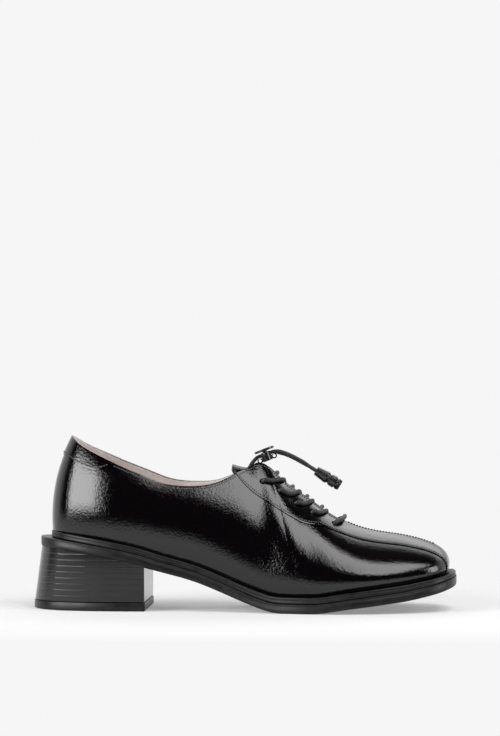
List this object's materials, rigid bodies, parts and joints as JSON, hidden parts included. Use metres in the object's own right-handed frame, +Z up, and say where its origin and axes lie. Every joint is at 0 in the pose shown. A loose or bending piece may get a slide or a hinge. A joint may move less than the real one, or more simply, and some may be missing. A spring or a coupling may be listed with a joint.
{
  "type": "lace-up shoe",
  "caption": "Black patent lace-up shoe for the right foot, with a square toe, storm welt, stacked block heel and an elastic lace drawn tight by a cord lock.",
  "frame": {"origin": "on the floor under the middle of the shoe, measured without the loose cords and their end piece", "axes": "+X from heel to toe, +Y towards the inner (medial) side of the foot, +Z up"},
  "size_m": [0.2674, 0.0908, 0.109],
  "materials": {
    "patent": "black patent, mirror gloss with a fine crinkle",
    "lining": "pale beige lining leather, matt",
    "sole_rubber": "black rubber, satin",
    "heel_stack": "black lacquered heel with fine stacked lines",
    "elastic": "black round elastic cord, fine braid",
    "hard_plastic": "black moulded plastic, semi-gloss"
  },
  "bodies": {
    "shoe": {"outsole": "sole_rubber", "welt": "sole_rubber", "heel_block": "heel_stack", "heel_tip": "sole_rubber", "insole": "lining", "upper": "patent", "tongue": "patent", "lace_cross_1": "elastic", "lace_cross_2": "elastic", "lace_cross_3": "elastic", "lace_cross_4": "elastic", "lace_bar": "elastic", "cord_lock": "hard_plastic", "cord_lateral": "elastic", "cord_medial": "elastic", "cord_end": "hard_plastic"},
    "lock_button": {"cord_lock_button": "hard_plastic"}
  },
  "joints": [
    {"name": "lock_button_press", "type": "slide", "parent": "shoe", "child": "lock_button", "axis": [0.3584, 0, -0.9336], "range_m": [0, 0.0009], "stiffness_N_per_m": 600, "springref_m": -0.003}
  ]
}
